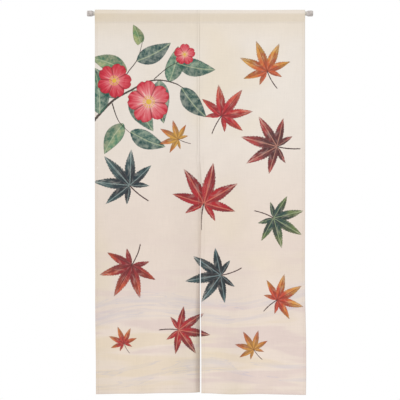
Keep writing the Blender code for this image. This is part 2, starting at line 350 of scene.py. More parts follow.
def left_edge_stand(z, inside):
    """Left panel near the slit: tucked back 4.5 mm, and curled up to 14 mm back near the hem.

    Both fall off with the square of the share of their reach that is left.
    """
    growth = ramp(z, OVERLAP_END_Z, CURL_FULL_Z)
    reach = np.clip(1.0 - inside / STAND_REACH, 0.0, 1.0)
    curl = np.clip(1.0 - inside / (0.012 + 0.017 * growth), 0.0, 1.0)
    return 0.0045 * ramp(z, SEAM_END_Z, TUCK_Z) * reach**2 + 0.0140 * growth * curl**2


def right_edge_stand(z, inside):
    """Right panel near the slit: lifted forward by 2.5 mm, falling off with the square."""
    reach = np.clip(1.0 - inside / STAND_REACH, 0.0, 1.0)
    return -0.0025 * ramp(z, SEAM_END_Z, TUCK_Z) * reach**2


PANELS = {
    "left": {
        "outer_edge": left_outer_edge, "slit_edge": left_slit_edge,
        "hem_line": left_hem_line, "edge_stand": left_edge_stand,
        # height, length across, phase and its turn down the drop in degrees, share where it begins
        "waves": [(0.0042, 0.310, 35.0, 40.0, 0.05), (0.0018, 0.165, 200.0, -60.0, 0.45)],
    },
    "right": {
        "outer_edge": right_outer_edge, "slit_edge": right_slit_edge,
        "hem_line": right_hem_line, "edge_stand": right_edge_stand,
        "waves": [(0.0046, 0.330, 250.0, -35.0, 0.04), (0.0020, 0.180, 20.0, 70.0, 0.50)],
    },
}


def wave_depth(x, z, down, inside, waves):
    """Sum of sines across the width, each growing down the drop, and held flat by the seam."""
    held = (1.0 - ramp(z, SEAM_END_Z, SEAM_END_Z - 0.120)) * bell(inside, 0.0, 0.120)
    depth = np.zeros_like(x)
    for height, length, phase, turn, begins in waves:
        growth = np.clip((down - begins) / (1.0 - begins), 0.0, 1.0) ** 0.8
        depth += height * growth * np.sin(2.0 * np.pi * x / length + np.radians(phase + turn * down))
    return depth * (1.0 - held)


def unevenness(x, z):
    """Slackness of hand-hung cloth: six slanting sines of 45 to 150 mm and up to 0.25 mm high."""
    waves = np.random.default_rng(11)
    depth = np.zeros_like(x)
    for length in (0.150, 0.120, 0.095, 0.075, 0.060, 0.045):
        lean = waves.uniform(-1.0, 1.0)
        phase = waves.uniform(0.0, 2.0 * np.pi)
        along = x * math.cos(lean) + z * math.sin(lean)
        depth += 0.0016 * length * np.sin(2.0 * np.pi * along / length + phase)
    return depth


def seam_pull(x, z):
    """Dent and slanting tension folds where the seam ends, on the left of the slit's top."""
    dent = 0.0030 * bell(x, -0.050, 0.045) * bell(z, -0.600, 0.040)
    fan = np.sin((z + 0.30 * x) * 2.0 * np.pi / 0.036) * bell(x, -0.015, 0.050)
    return dent + 0.0005 * fan * bell(z, -0.575, 0.045)


def crease_lift(x):
    """Unevenness of the pressed crease along the top: up at both ends, down right of the middle."""
    ends = 0.0013 * ramp(x, -0.240, -0.400) + 0.0006 * ramp(x, 0.300, 0.380)
    return 0.0004 + ends - 0.0007 * bell(x, 0.210, 0.070)


def lines(near_start, near_end, length, step):
    """Grid lines from 0 to length: some at set distances from both ends, even ones between."""
    count = int(round((length - near_start[-1] - near_end[-1]) / step))
    middle = np.linspace(near_start[-1], length - near_end[-1], count + 1)[1:-1]
    return np.concatenate([near_start, middle, length - np.array(near_end[::-1])])


def pocket_path():
    """Middle of the cloth in Y and Z, from the stitch line up, over the rod and down to it again.

    Straight to where it touches a circle round the rod, along that circle, and then in a pressed
    crease, where the distance from the axis is r / cos(c - t) with t the angle from the top, rounded.
    """
    radius = rod_radius + CAP_FIT + CLOTH / 2
    leave = math.pi - math.acos(radius / -STITCH_Z)
    arc = np.linspace(leave, CREASE_ANGLE, 9)
    crease = np.linspace(CREASE_ANGLE, 0.0, 9)[1:]
    half = np.concatenate([arc, crease])
    angle = np.concatenate([half, -half[-2::-1]])
    rounded = np.sqrt(angle**2 + CREASE_ROUNDING**2)
    distance = np.where(np.abs(angle) < CREASE_ANGLE, radius / np.cos(CREASE_ANGLE - rounded), radius)
    over = np.stack([-distance * np.sin(angle), distance * np.cos(angle)], axis=1)
    climb = np.array([0.06, 0.14, 0.26, 0.40, 0.55, 0.70, 0.85])[:, None]
    foot = np.array([0.0, STITCH_Z])
    up = foot + (over[0] - foot) * climb
    down = foot + (over[-1] - foot) * climb[::-1]
    return np.concatenate([up, over, down, [foot]])


def drop_surface(panel, columns, rows):
    """Middle of the cloth from the hem to the stitch line, and its rows' heights on the flat cloth.

    A row runs evenly from the outer edge to the slit edge and is scaled down to the hem line. In
    depth it is the waves, the edge's stand and, below the pocket, unevenness and the seam's pull.
    """
    across, up = np.meshgrid(columns / columns[-1], rows / rows[-1])
    down = 1.0 - up
    level = STITCH_Z - rows[-1] * down
    x = panel["outer_edge"](level) + (panel["slit_edge"](level) - panel["outer_edge"](level)) * across
    z = STITCH_Z + (panel["hem_line"](x) - STITCH_Z) * down
    inside = np.abs(panel["slit_edge"](z) - x)
    settled = ramp(-z, -STITCH_Z, -STITCH_Z + 0.06)
    y = wave_depth(x, z, down, inside, panel["waves"]) + panel["edge_stand"](z, inside)
    y += settled * (unevenness(x, z) + seam_pull(x, z))
    return np.stack([x, y, z], axis=2), level[:, 0]


def pocket_surface(top_x, columns):
    """Middle of the cloth over the rod and down to the lip, and the run along it for each row.

    It is the pocket's path at every column, raised by the crease's unevenness. The front sags a
    little between stitches, and the back end moves behind the front one, past any hem there.
    """
    path = pocket_path()
    steps = np.linalg.norm(np.diff(path, axis=0, prepend=[[0.0, STITCH_Z]]), axis=1)
    run = np.cumsum(steps)
    path_x = np.repeat(top_x, len(path), axis=0)
    share = np.clip(path[:, 1:] / path[:, 1].max(), 0.0, 1.0)
    swell = 0.0005 * np.sin(path_x * 2.0 * np.pi / 0.043 + 2.0 * np.sin(path_x * 23.0))
    slack = np.clip(1.0 - run / 0.040, 0.0, 1.0) * np.clip(run / 0.010, 0.0, 1.0)
    hem_share = ramp(columns, SIDE_HEM + HEM_STEP, SIDE_HEM)
    hem_share = hem_share + ramp(columns[-1] - columns, SLIT_HEM + HEM_STEP, SLIT_HEM)
    behind = (CLOTH + 0.00005 + HEM_LAYERS * hem_share)[None, :]
    behind = behind * ramp(run, run[-1] - 0.030, run[-1])[:, None]
    path_y = path[:, :1] - np.abs(swell) * slack[:, None] + behind
    path_z = path[:, 1:] + share**2 * crease_lift(path_x)
    pocket = np.stack([path_x, path_y, path_z], axis=2)

    lip_down = np.array([0.0010, 0.0022, POCKET_LIP])
    lip = np.repeat(pocket[-1:], 3, axis=0)
    lip[:, :, 2] -= lip_down[:, None]
    return np.concatenate([pocket, lip]), run, run[-1] + lip_down


def sewing_and_shade_marks(flat_t, columns, crease_run, on_drop, felled):
    """How much each point is hemmed, stitched or felled, its painted shade, and its roundness at a
    fold.

    A hem is 1 up to its width and eases to 0. A row of stitches is a bell curve across it. The
    roundness is that of a quarter circle over the fold's rounding. The seam is felled to the left.
    """
    from_outer = np.repeat(columns[None, :], len(flat_t), axis=0)
    from_slit = columns[-1] - from_outer
    from_hem = flat_t - flat_t[0, 0]
    from_lip = flat_t[-1, 0] - flat_t
    slit_hem = ramp(from_slit, SLIT_HEM + HEM_STEP, SLIT_HEM)
    hem = np.maximum(ramp(from_outer, SIDE_HEM + HEM_STEP, SIDE_HEM), slit_hem)
    hem = np.maximum(hem, ramp(from_hem, BOTTOM_HEM + HEM_STEP, BOTTOM_HEM)) * on_drop
    seamed = ramp(flat_t, SEAM_END_Z - SEAM_EASE, SEAM_END_Z + SEAM_EASE)
    at_slit = from_slit * (1.0 + 4.0 * seamed)
    edge = np.minimum(np.minimum(from_outer, from_hem), np.minimum(at_slit, from_lip))
    turned_over = np.clip(edge / FOLD_ROUNDING, 0.0, 1.0)
    roundness = np.maximum(np.sqrt(1.0 - (1.0 - turned_over) ** 2), FOLD_LEAST)

    side_line = bell(from_outer, SIDE_STITCHES, STITCH_PULL)
    bottom_line = bell(from_hem, BOTTOM_STITCHES, STITCH_PULL)
    slit_line = bell(from_slit, SLIT_STITCHES, STITCH_PULL) * (1.0 - seamed)
    pocket_line = bell(flat_t, STITCH_Z, POCKET_PULL)
    fell_line = felled * bell(from_slit, FELL_WIDTH, FELL_PULL) * seamed
    sewn = np.max([side_line, bottom_line, slit_line, pocket_line, fell_line], axis=0)
    fell = felled * seamed * ramp(from_slit, FELL_WIDTH + 0.0008, FELL_WIDTH - 0.0012)

    # Painted shade: darker at hems, folded edges and the slit, stitch lines, the fell line, the doubled
    # pocket, under it and at its crease.
    folded = bell(np.minimum(from_outer, from_hem), 0.0, FOLD_SHADE)
    slit_fold = (0.060 - 0.035 * felled) * bell(from_slit, 0.0, FOLD_SHADE) * (1.0 - seamed)
    in_pocket = ramp(flat_t, STITCH_Z - 0.006, STITCH_Z + 0.012)
    shade = 0.012 * hem + 0.012 * sewn + 0.065 * folded + slit_fold
    crease = bell(flat_t, STITCH_Z + crease_run, 0.008)
    below_pocket = ramp(flat_t, POCKET_FADE_Z, STITCH_Z) * (1.0 - in_pocket)
    shade = shade + 0.020 * in_pocket + 0.012 * below_pocket
    shade = shade + 0.048 * crease + 0.110 * fell_line
    return {"hem": hem, "sewn": sewn, "fell": fell, "shade": shade, "roundness": roundness}


def hung_cloth(panel):
    """Front and back face of a panel, its flat coordinates, its sewing and its painted shade, on one
    grid.

    Rows go from the bottom hem up the drop, over the pocket and down to the lip behind the stitch
    line, columns from the outer edge to the slit edge. Both faces stand off the middle along its
    normal, by half the cloth and by the hem's two more layers at the back, and round off at folds.
    """
    outer_lines = [0.0, 0.0004, 0.0012, 0.003, 0.006, 0.0085, 0.010, 0.0115, 0.0125, 0.014, 0.0165]
    slit_lines = [0.0, 0.0004, 0.0012, 0.003, 0.0055, 0.0070, 0.0078, 0.0086, 0.0105, 0.0130]
    slit_lines += [0.0145, 0.0155, 0.017, 0.020, 0.0235]
    hem_lines = [0.0, 0.0004, 0.0012, 0.004, 0.009, 0.014, 0.0165, 0.018, 0.0195, 0.0205, 0.022]
    stitch_lines = [0.0, 0.0015, 0.0035, 0.006]
    width = abs(panel["slit_edge"](0.0) - panel["outer_edge"](0.0))
    length = STITCH_Z - panel["hem_line"](panel["outer_edge"](-1.0))
    columns = lines(outer_lines, slit_lines, width, COLUMN_STEP)
    drop, drop_t = drop_surface(panel, columns, lines(hem_lines, stitch_lines, length, ROW_STEP))
    pocket, run, lip_run = pocket_surface(drop[-1:, :, 0], columns)
    middle = np.concatenate([drop, pocket])
    outer_x = panel["outer_edge"](0.0)
    flat_s = outer_x + np.sign(SEAM_X - outer_x) * columns
    flat_s = np.repeat(flat_s[None, :], len(middle), axis=0)
    flat_t = np.concatenate([drop_t, STITCH_Z + run, STITCH_Z + lip_run])
    flat_t = np.repeat(flat_t[:, None], len(columns), axis=1)
    on_drop = (np.arange(len(middle)) < len(drop)).astype(float)[:, None]
    felled = 1.0 if panel is PANELS["left"] else 0.0
    crease_front = run[len(run) // 2 - 3]
    marks = sewing_and_shade_marks(flat_t, columns, crease_front, on_drop, felled)

    normal = np.cross(np.gradient(middle, axis=0), np.gradient(middle, axis=1))
    normal /= np.linalg.norm(normal, axis=2, keepdims=True)
    normal *= -np.sign(normal[0, 0, 1])
    back_full = CLOTH / 2 + HEM_LAYERS * marks["hem"]
    centre = (CLOTH / 2 - back_full) / 2
    half = (CLOTH / 2 + back_full) / 2 * marks["roundness"]
    relief = centre + half - STITCH_DENT * marks["sewn"] + FELL_RISE * marks["fell"]
    return {
        "front": middle + normal * relief[:, :, None],
        "back": middle + normal * (centre - half)[:, :, None],
        "normal": normal, "s": flat_s, "t": flat_t, "columns": columns, "width": width,
        "sewn": marks["sewn"], "shade": marks["shade"], "hem": marks["hem"],
    }


def seam_allowance(cloth):
    """The seam's allowance behind the left panel: a strip from the slit's top to the stitch line.

    It lies on the back of the panel's hem, row by row, and reaches 1.4 mm past the seam.
    """
    across = np.array([-FELL_WIDTH - 0.0012, -FELL_WIDTH, -0.0050, 0.0, 0.0014])
    level = cloth["t"][:, 0]
    rows = np.flatnonzero((level > SEAM_END_Z - SEAM_EASE) & (level < STITCH_Z - 0.001))
    on_hem = np.argmin(np.abs(cloth["width"] - cloth["columns"] - ALLOWANCE_FOOT))
    foot = cloth["back"][rows, on_hem]
    front = np.zeros((len(rows), len(across), 3))
    front[:, :, 0] = cloth["back"][rows, -1, 0][:, None] + across
    front[:, :, 1] = foot[:, 1:2] + 0.00002
    front[:, :, 2] = foot[:, 2:3]
    back = front.copy()
    back[:, :, 1] += CLOTH * np.array([0.3, 1.0, 1.0, 1.0, 0.3])
    none = np.zeros((len(rows), len(across)))
    return {
        "front": front, "back": back, "normal": np.broadcast_to([0.0, -1.0, 0.0], front.shape),
        "s": front[:, :, 0], "t": np.repeat(level[rows][:, None], len(across), axis=1),
        "columns": across - across[0], "width": across[-1] - across[0],
        "sewn": none, "shade": none + 0.02, "hem": none,
    }


# The print is laid out on the flat cloth, across both panels: s runs to the right, t upwards, and
# both have the middle of the rod as their zero.
FLOWERING_TWIGS = [
    # points along the twig, thickness at its foot and at its tip
    ([(-0.420, -0.425), (-0.345, -0.345), (-0.270, -0.300),
      (-0.185, -0.262), (-0.095, -0.275), (-0.030, -0.322)], 0.0115, 0.0030),
    ([(-0.300, -0.316), (-0.290, -0.245), (-0.245, -0.180), (-0.225, -0.112)], 0.0060, 0.0020),
    ([(-0.185, -0.262), (-0.130, -0.215), (-0.085, -0.190)], 0.0045, 0.0018),
    ([(-0.345, -0.345), (-0.318, -0.420), (-0.270, -0.470)], 0.0055, 0.0018),
]
TWIG_LEAVES_BEHIND = [
    # s and t of the leaf's foot, its length, its turn from upright in degrees, its tone
    (-0.330, -0.330, 0.165, 38.0, 0.15), (-0.262, -0.300, 0.180, -152.0, 0.45),
    (-0.160, -0.262, 0.170, -172.0, 0.30), (-0.285, -0.225, 0.150, 72.0, 0.80),
    (-0.120, -0.268, 0.145, -12.0, 0.50), (-0.300, -0.430, 0.140, 150.0, 0.70),
]
TWIG_LEAVES = [
    (-0.246, -0.186, 0.150, -60.0, 0.10), (-0.230, -0.128, 0.090, 22.0, 0.92),
    (-0.088, -0.195, 0.150, -98.0, 0.35), (-0.072, -0.292, 0.150, -138.0, 0.12),
    (-0.392, -0.392, 0.165, 8.0, 0.40), (-0.272, -0.462, 0.150, -112.0, 0.25),
]
BLOSSOMS = [
    # s, t, radius, turn in degrees, tone
    (-0.200, -0.345, 0.084, 12.0, 0.15), (-0.335, -0.262, 0.068, 48.0, 0.70),
    (-0.060, -0.160, 0.042, 70.0, 0.45),
]
DRIFTING_LEAVES = [
    # s, t, length of the middle lobe, turn in degrees, colours of the blade, its tips and its veins
    (0.262, -0.225, 0.125, 20.0, "#C65A30", "#D9A648", "#7A2C1C"),
    (0.085, -0.400, 0.130, -38.0, "#B51D2A", "#D2604A", "#5E1018"),
    (0.300, -0.520, 0.145, 75.0, "#5E2A2C", "#B43C3C", "#D39A84"),
    (-0.278, -0.672, 0.150, 40.0, "#182E38", "#4C6A6A", "#9DB0AC"),
    (0.008, -0.745, 0.165, -15.0, "#AE1826", "#8C2028", "#E08A70"),
    (-0.085, -0.492, 0.082, 60.0, "#CF9A40", "#C8662F", "#7A4A1E"),
    (0.285, -0.800, 0.130, -120.0, "#23453F", "#6E8048", "#A9B58A"),
    (-0.268, -0.985, 0.140, 150.0, "#8E2029", "#C95A3A", "#4A1014"),
    (0.078, -1.025, 0.140, 100.0, "#14262F", "#37565A", "#8FA5A6"),
    (0.300, -1.120, 0.112, -60.0, "#C2452C", "#DBA04A", "#701C16"),
    (-0.085, -1.240, 0.122, -100.0, "#B0202B", "#6B2228", "#E29A7E"),
    (0.205, -1.315, 0.082, 30.0, "#CB9040", "#BE5A30", "#75431C"),
    (-0.300, -1.290, 0.070, 20.0, "#B8312F", "#D2813F", "#651418"),
]
OUT_OF_PRINT = 9.0


def face_corners(grid):
    """Values of a grid's points, gathered for the four corners of each of its faces."""
    lower, upper = grid[..., :-1, :, :], grid[..., 1:, :, :]
    around = [lower[..., :-1, :], lower[..., 1:, :], upper[..., 1:, :], upper[..., :-1, :]]
    return np.stack(around, axis=-2)


def motif_places(s, t, motifs, reach, centre):
    """For each grid face, which motif is nearest in its own measure, and its corners' places in it.

    A place is the vector from the motif's middle, turned back by its turn and divided by its size.
    Faces further than the reach from every motif's centre get places out of the print.
    """
    places = []
    for motif in motifs:
        turn = math.radians(motif[3])
        ds, dt = s - motif[0], t - motif[1]
        along = (-ds * math.sin(turn) + dt * math.cos(turn)) / motif[2]
        aside = (ds * math.cos(turn) + dt * math.sin(turn)) / motif[2]
        places.append(np.stack([aside, along], axis=2))
    corners = face_corners(np.stack(places))
    distance = np.linalg.norm(corners.mean(axis=3) - np.array(centre), axis=3)
    nearest = distance.argmin(axis=0)
    own = np.take_along_axis(corners, nearest[None, :, :, None, None], axis=0)[0]
    out = np.take_along_axis(distance, nearest[None], axis=0)[0] > reach
    own[out] = OUT_OF_PRINT
    return own, nearest


def twig_places(s, t):
    """Each grid face's corners measured from its nearest twig: offset in half widths, and run.

    A twig is a smooth curve through its points, by Catmull and Rom's cubic, and its half width
    falls evenly from foot to tip.
    """
    offsets, runs = [], []
    for points, foot, tip in FLOWERING_TWIGS:
        points = np.array([points[0], *points, points[-1]])
        share = np.linspace(0.0, 1.0, 25)[:-1, None]
        pieces = []
        for before, start, end, after in zip(points, points[1:], points[2:], points[3:]):
            slope_in, slope_out = (end - before) / 2, (after - start) / 2
            bend = 2 * start - 2 * end + slope_in + slope_out
            turn = 3 * end - 3 * start - 2 * slope_in - slope_out
            pieces.append(start + slope_in * share + turn * share**2 + bend * share**3)
        curve = np.concatenate([*pieces, points[-1:]])
        tangent = np.gradient(curve, axis=0)
        tangent /= np.linalg.norm(tangent, axis=1, keepdims=True)
        run = np.concatenate([[0.0], np.cumsum(np.linalg.norm(np.diff(curve, axis=0), axis=1))])
        away = np.stack([s, t], axis=2)[:, :, None, :] - curve
        nearest = np.linalg.norm(away, axis=3).argmin(axis=2)
        own = np.take_along_axis(away, nearest[:, :, None, None], axis=2)[:, :, 0]
        way = tangent[nearest]
        ahead = (own * way).sum(axis=2)
        aside = own[:, :, 0] * way[:, :, 1] - own[:, :, 1] * way[:, :, 0]
        half = (foot + (tip - foot) * run[nearest] / run[-1]) / 2
        beyond = np.abs(ahead) > 0.006
        offsets.append(np.where(beyond, OUT_OF_PRINT, aside / half))
        runs.append(run[nearest] + ahead)
    corners = face_corners(np.stack([np.stack(offsets), np.stack(runs)], axis=3))
    nearest = np.abs(corners[..., 0]).max(axis=3).argmin(axis=0)
    return np.take_along_axis(corners, nearest[None, :, :, None, None], axis=0)[0]


def print_places(s, t):
    """What the print's nodes read at each face corner: its place in each kind of motif, and colours.

    The third part of a place is the motif's tone, and the colours are those of the drifting leaf.
    """
    places = {}
    for label, motifs, reach, centre in (
        ("leaf_behind", TWIG_LEAVES_BEHIND, 0.58, (0.0, 0.5)),
        ("leaf_before", TWIG_LEAVES, 0.58, (0.0, 0.5)),
        ("blossom", BLOSSOMS, 1.12, (0.0, 0.0)),
        ("drifting", DRIFTING_LEAVES, 1.20, (0.0, 0.15)),
    ):
        own, nearest = motif_places(s, t, motifs, reach, centre)
        tones = np.array([motif[4] if isinstance(motif[4], float) else 0.5 for motif in motifs])
        tone = np.repeat(tones[nearest][:, :, None, None], 4, axis=2)
        places[label] = np.concatenate([own, tone], axis=3)
    for column, part in enumerate(("blade", "tip", "vein"), start=4):
        palette = np.array([linear(motif[column])[:3] for motif in DRIFTING_LEAVES])
        places[part + "_colour"] = np.repeat(palette[nearest][:, :, None, :], 4, axis=2)
    twigs = twig_places(s, t)
    places["twig"] = np.concatenate([twigs, np.zeros_like(twigs[..., :1])], axis=3)
    return places


def closed_sheet(sheet):
    """Vertices, faces and stored values of one sheet: front and back face, and a rim between them.

    The back has the print of the face in front of it, but none where a hem is turned onto it.
    """
    rows, columns = sheet["s"].shape
    index = np.arange(rows * columns).reshape(rows, columns)
    corners = face_corners(index[:, :, None]).reshape(-1, 4)
    ring = np.concatenate([index[0, :-1], index[:-1, -1], index[-1, :0:-1], index[:0:-1, 0]])
    after = np.roll(ring, -1)
    rim = np.stack([ring, ring + index.size, after + index.size, after], axis=1)
    faces = np.concatenate([corners, corners[:, ::-1] + index.size, rim])
    vertices = np.concatenate([sheet["front"].reshape(-1, 3), sheet["back"].reshape(-1, 3)])

    flat = np.stack([sheet["s"], sheet["t"]], axis=2).reshape(-1, 2)
    stored = {"cloth": np.concatenate([flat, flat])[faces]}
    on_hem = sheet["hem"].reshape(-1)[corners].mean(axis=1) > 0.5
    out = np.full((len(rim), 4, 3), OUT_OF_PRINT)
    for label, values in print_places(sheet["s"], sheet["t"]).items():
        values = values.reshape(-1, 4, 3)
        behind = np.where(on_hem[:, None, None], OUT_OF_PRINT, values)[:, ::-1]
        stored[label] = np.concatenate([values, behind, out])
    # The sewing's second part is the painted shade.
    sewing_and_shade = np.zeros((2, rows, columns, 3))
    sewing_and_shade[:, :, :, 0] = sheet["sewn"]
    sewing_and_shade[:, :, :, 1] = sheet["shade"]
    sewing_and_shade[1, :, :, 2] = 1.0
    if sheet["front"][0, 0, 0] > sheet["front"][0, -1, 0]:
        faces = faces[:, ::-1]
        stored = {label: values[:, ::-1] for label, values in stored.items()}
    return vertices, faces, stored, sewing_and_shade.reshape(-1, 3)


def cloth_piece(name, sheets, material, node_name):
    """One mesh of a panel's sheets. The print, the sewing and the painted shade are stored on it for
    its material.
    """
    parts = [closed_sheet(sheet) for sheet in sheets]
    first = np.cumsum([0] + [len(vertices) for vertices, _, _, _ in parts])
    faces = np.concatenate([part[1] + start for part, start in zip(parts, first)])
    vertices = np.concatenate([part[0] for part in parts])
    piece = add_piece(name, vertices, faces.tolist(), material, "cloth", [node_name])
    mesh = piece.data
    for label in parts[0][2]:
        values = np.concatenate([part[2][label].ravel() for part in parts]).astype(np.float32)
        if label == "cloth":
            mesh.uv_layers.new(name=label)
            mesh.uv_layers[label].data.foreach_set("uv", values)
        else:
            mesh.attributes.new(label, "FLOAT_VECTOR", "CORNER")
            mesh.attributes[label].data.foreach_set("vector", values)
    sewing_and_shade = np.concatenate([part[3] for part in parts]).astype(np.float32)
    mesh.attributes.new("sewing_and_shade", "FLOAT_VECTOR", "POINT")
    mesh.attributes["sewing_and_shade"].data.foreach_set("vector", sewing_and_shade.ravel())
    return piece


WEAVE = 0.0016
SLUB_LENGTH = 0.060
SLUB_WIDTH = 0.0028
CLOTH_GROUND = "#E9E0D6"
CLOTH_MIDDLE = "#E6D7CB"
CLOTH_LOWER = "#EADBCF"
CLOTH_WARM = "#E5D7C0"
CLOTH_MAUVE = "#DECBC6"
TAN_WASH_AND_SHADE = "#E2CFAE"
WATER_BLUE = "#A4ACCF"
LEAF_GREENS = (
    (0.10, "#1F3F45"), (0.32, "#2F6156"), (0.55, "#5C8A68"), (0.76, "#8A9A48"), (0.97, "#B0AE5A"),
)
PETAL_REDS = ((0.10, "#EDBDB6"), (0.32, "#E0737A"), (0.55, "#CB3244"), (0.85, "#A41B2D"))
BARK = ((0.30, "#1A1E1F"), (0.52, "#332A26"), (0.72, "#6E5A48"))
LOBE_TURN = math.radians(44.0)


def leaf_blade(node, along, aside, half_width, edge):
    """Cover of a pointed leaf from its foot at 0 to its tip at 1, and its distance inside the edge.

    The half width at v is the widest times sin(pi v to the 0.75) to the 0.9, and past either end
    the distance falls by twice the way gone.
    """
    clipped = node("Clamp", (along, 0.0, 1.0))
    eased = node("POWER", (clipped, 0.75))
    wave = node("SINE", node("MULTIPLY", (eased, math.pi)))
    belly = node("POWER", (wave, 0.9))
    room = node("MULTIPLY", (belly, half_width))
    past = node("ABSOLUTE", node("SUBTRACT", (along, clipped)))
    used = node("MULTIPLY_ADD", (past, 2.0, aside))
    inside = node("SUBTRACT", (room, used))
    cover = node("MapRange", (inside, -edge, edge, 0.0, 1.0), **SOFT)
    return cover, inside


def washed_ground(node, flat, s, t):
    """Aged cream, pinker down the drop, with warm clouds, brushed mauve, tan and blue washes, and tan
    painted shade in and under the pocket.
    """
    middle = node("MapRange", (t, -0.30, -0.90, 0.0, 1.0), **SOFT)
    lower = node("MapRange", (t, -1.12, -1.26, 0.0, 1.0), **SOFT)
    clouds = node("TexNoise", {"Vector": flat, "Scale": 2.6, "Detail": 2.0, "Distortion": 0.4})
    warm = node("MapRange", (clouds, 0.46, 0.68, 0.0, 0.55), **SOFT)
    ground = linear(CLOTH_GROUND)
    for amount, paint in ((middle, CLOTH_MIDDLE), (lower, CLOTH_LOWER), (warm, CLOTH_WARM)):
        ground = node("Mix", (amount, ground, linear(paint)), **COLOUR)

    # Painted shade: the pocket is doubled round the rod, so its cloth is tinted warmer below the
    # crease, less at the crease, and the tint fades out under it.
    pocket_shade = node("MapRange", (t, STITCH_Z - 0.004, STITCH_Z + 0.010, 0.0, 0.42), **SOFT)
    pocket_shade_fade = node("MapRange", (t, POCKET_FADE_Z, STITCH_Z, 0.0, 0.22), **SOFT)
    pocket_shade = node("MAXIMUM", (pocket_shade, pocket_shade_fade))
    creased = node("MapRange", (t, -0.006, 0.006, 1.0, 0.25), **SOFT)
    pocket_shade = node("MULTIPLY", (pocket_shade, creased))
    ground = node("Mix", (pocket_shade, ground, linear(TAN_WASH_AND_SHADE)), **COLOUR)

    # Broad brush bands: noise drawn out along the weft, mauve in its highs and tan in its lows.
    stretched = node("VectorMath MULTIPLY", (flat, (1.8, 15.0, 1.0)))
    bands = node("TexNoise", {"Vector": stretched, "Scale": 1.0, "Detail": 3.0, "Distortion": 0.5})
    low = node("MapRange", (t, -0.75, -1.30, 0.0, 1.0), **SOFT)
    mauve = node("MapRange", (bands, 0.49, 0.60, 0.0, 0.72), **SOFT)
    mauve = node("MULTIPLY", (low, mauve))
    tan = node("MapRange", (bands, 0.50, 0.38, 0.04, 0.42), **SOFT)
    tan = node("MULTIPLY", (lower, tan))
    washed = ground
    for amount, paint in ((mauve, CLOTH_MAUVE), (tan, TAN_WASH_AND_SHADE)):
        washed = node("Mix", (amount, washed, linear(paint)), **COLOUR)

    # Flowing water: brushed lines that follow slow waves, in two streams.
    for level, depth, reach, lean in ((-1.150, 0.046, 0.040, 0.6), (-1.400, 0.036, 0.034, 0.3)):
        swing = node("SINE", node("MULTIPLY_ADD", (s, 8.5, lean * 6.0)))
        bank = node("MULTIPLY_ADD", (s, lean * 0.12, level))
        bank = node("MULTIPLY_ADD", (swing, depth * 0.6, bank))
        height = node("SUBTRACT", (t, bank))
        away = node("ABSOLUTE", height)
        within = node("MapRange", (away, reach, reach * 1.5, 1.0, 0.0), **SOFT)
        stroke_s = node("MULTIPLY", (s, 5.0))
        stroke_t = node("MULTIPLY", (height, 62.0))
        place = node("CombineXYZ", (stroke_s, stroke_t, level * 9.0))
        strokes = node("TexNoise", {"Vector": place, "Scale": 1.0, "Detail": 1.0})
        off_line = node("ABSOLUTE", node("SUBTRACT", (strokes, 0.52)))
        line = node("MapRange", (off_line, 0.004, 0.030, 0.22, 0.0), **SOFT)
        wash = node("MapRange", (strokes, 0.45, 0.75, 0.0, 0.21), **SOFT)
        brushed = node("MAXIMUM", (line, wash))
        amount = node("MULTIPLY", (brushed, within))
        washed = node("Mix", (amount, washed, linear(WATER_BLUE)), **COLOUR)
    return ground, washed


def painted_twigs(node, colour, creep):
    """Twigs by a loaded brush that runs dry, so paler streaks show along them."""
    place = node("Attribute", attribute_name="twig").outputs["Vector"]
    axes = node("SeparateXYZ", place)
    shaken = node("SeparateXYZ", creep).outputs["X"]
    offset = node("MULTIPLY_ADD", (shaken, 1.4, axes.outputs["X"]))
    offset = node("ABSOLUTE", offset)
    stretched = node("VectorMath MULTIPLY", (place, (2.2, 30.0, 0.0)))
    streak = node("TexNoise", {"Vector": stretched, "Scale": 1.0, "Detail": 2.0})
    bark = node("ValToRGB", streak, BARK)
    cover = node("MapRange", (offset, 0.75, 1.10, 0.95, 0.0), **SOFT)
    return node("Mix", (cover, colour, bark), **COLOUR)


def painted_leaves(node, colour, creep, mottle, label):
    """Broad leaves: ink green to yellow-green in wet patches, pale veins, a darker half and edge."""
    place = node("Attribute", attribute_name=label).outputs["Vector"]
    place = node("VectorMath MULTIPLY_ADD", (creep, (0.022, 0.022, 0.0), place))
    leaf = node("SeparateXYZ", place)
    along = leaf.outputs["Y"]
    curve = node("SINE", node("MULTIPLY", (along, 2.6)))
    side = node("MULTIPLY_ADD", (curve, -0.06, leaf.outputs["X"]))
    aside = node("ABSOLUTE", side)
    cover, inside = leaf_blade(node, along, aside, 0.235, 0.008)
    hue = node("MULTIPLY", (leaf.outputs["Z"], 0.55))
    hue = node("MULTIPLY_ADD", (mottle, 0.85, hue))
    hue = node("SUBTRACT", (hue, 0.22))
    blade = node("ValToRGB", hue, LEAF_GREENS)
    slant = node("MULTIPLY_ADD", (aside, -0.9, along))
    comb = node("FRACT", node("MULTIPLY", (slant, 8.0)))
    comb = node("ABSOLUTE", node("SUBTRACT", (comb, 0.5)))
    side_vein = node("MapRange", (comb, 0.0, 0.09, 0.28, 0.0), **SOFT)
    midrib = node("MapRange", (aside, 0.006, 0.020, 0.70, 0.0), **SOFT)
    vein = node("MAXIMUM", (side_vein, midrib))
    pooled = node("MapRange", (inside, 0.0, 0.040, 0.55, 0.0), **SOFT)
    one_half = node("MapRange", (side, -0.12, 0.16, 0.0, 0.45), **SOFT)
    dark = node("MAXIMUM", (pooled, one_half))
    for amount, paint in ((vein, "#B9C79C"), (dark, "#14303A")):
        blade = node("Mix", (amount, blade, linear(paint)), **COLOUR)
    wet = node("MapRange", (mottle, 0.35, 0.68, 0.98, 0.72), **SOFT)
    strength = node("MULTIPLY", (cover, wet))
    return node("Mix", (strength, colour, blade), **COLOUR)


